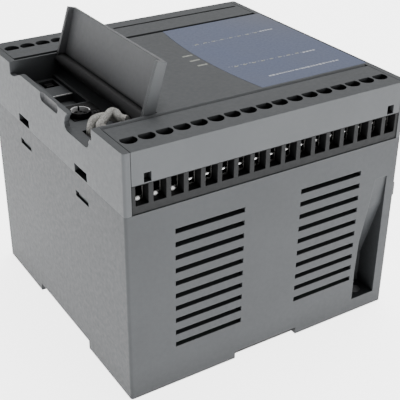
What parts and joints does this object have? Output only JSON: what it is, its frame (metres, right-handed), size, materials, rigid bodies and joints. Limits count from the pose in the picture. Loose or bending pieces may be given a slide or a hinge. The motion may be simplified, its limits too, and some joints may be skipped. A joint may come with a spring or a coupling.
{
  "type": "plc module",
  "caption": "Boxy grey industrial controller that snaps onto a 35 mm rail, with screw terminal rows under two edge covers and a hinged port door standing open",
  "frame": {"origin": "midway between the two diagonal fixing holes, on the rear face that rests on the rail panel", "axes": "+X along the terminal rows towards the expansion port side, +Y across the rows from the near row to the far row, +Z out of the front panel"},
  "size_m": [0.093, 0.0886, 0.0899],
  "materials": {
    "housing": "fine textured moulding, grey",
    "cover": "fine textured moulding, darker grey",
    "terminal": "dark grey terminal moulding",
    "screw_metal": "zinc plated",
    "clamp_metal": "bright nickel plated sheet",
    "pin_metal": "tinned brass",
    "label": "printed film, grey blue, satin",
    "lens": "milky light pipe",
    "black_plastic": "black moulding",
    "knob_grey": "dark grey moulding",
    "circuit_board": "green solder mask over glass fibre",
    "socket_metal": "bright tinned sheet",
    "core_metal": "varnished laminations",
    "winding": "yellow insulating tape over wire",
    "can": "sleeved aluminium can",
    "rubber": "soft black bushing",
    "cord_sleeve": "soft light grey sleeve"
  },
  "bodies": {
    "module": {"rear_housing": "housing", "front_cover": "cover", "panel_label": "label", "status_light_pipes": "lens", "io_light_pipes": "lens", "terminal_cover_near": "cover", "terminal_cover_far": "cover", "terminal_block_near": "terminal", "terminal_block_far": "terminal", "terminal_screws_near": "screw_metal", "terminal_screws_far": "screw_metal", "wire_clamps_near": "clamp_metal", "wire_clamps_far": "clamp_metal", "terminal_pins_near": "pin_metal", "terminal_pins_far": "pin_metal", "mode_switch_body": "black_plastic", "port_socket_body": "black_plastic", "port_socket_shell": "socket_metal", "port_socket_contacts": "pin_metal", "trimmer_body": "black_plastic", "port_board": "circuit_board", "port_header": "black_plastic", "cpu_board": "circuit_board", "power_board": "circuit_board", "riser_board": "circuit_board", "power_board_screws": "screw_metal", "cpu_board_screws": "screw_metal", "relays": "black_plastic", "transformer_core": "core_metal", "transformer_winding": "winding", "capacitors": "can", "cpu_chip": "black_plastic", "optocouplers": "black_plastic", "status_leds": "lens", "expansion_cover": "terminal", "expansion_connector": "black_plastic", "cord_grommet": "rubber", "cord_lead": "cord_sleeve", "cord_knot": "cord_sleeve"},
    "door": {"port_door": "cover"},
    "switch": {"mode_switch_knob": "black_plastic"},
    "trimmer": {"trimmer_rotor": "knob_grey"},
    "latch": {"rail_latch": "black_plastic"}
  },
  "joints": [
    {"name": "door_hinge", "type": "hinge", "parent": "module", "child": "door", "pos_m": [-0.0295, 0, 0.0741], "axis": [0, 1, 0], "range_deg": [-105.3, 0]},
    {"name": "switch_slide", "type": "slide", "parent": "module", "child": "switch", "axis": [0, 1, 0], "range_m": [-0.0013, 0.0013]},
    {"name": "trimmer_turn", "type": "hinge", "parent": "module", "child": "trimmer", "pos_m": [-0.0335, -0.0055, 0.0696], "axis": [0, 0, 1], "range_deg": [-135, 135]},
    {"name": "latch_slide", "type": "slide", "parent": "module", "child": "latch", "axis": [0, 1, 0], "range_m": [-0.003, 0], "stiffness_N_per_m": 800, "springref_m": 0.001}
  ]
}
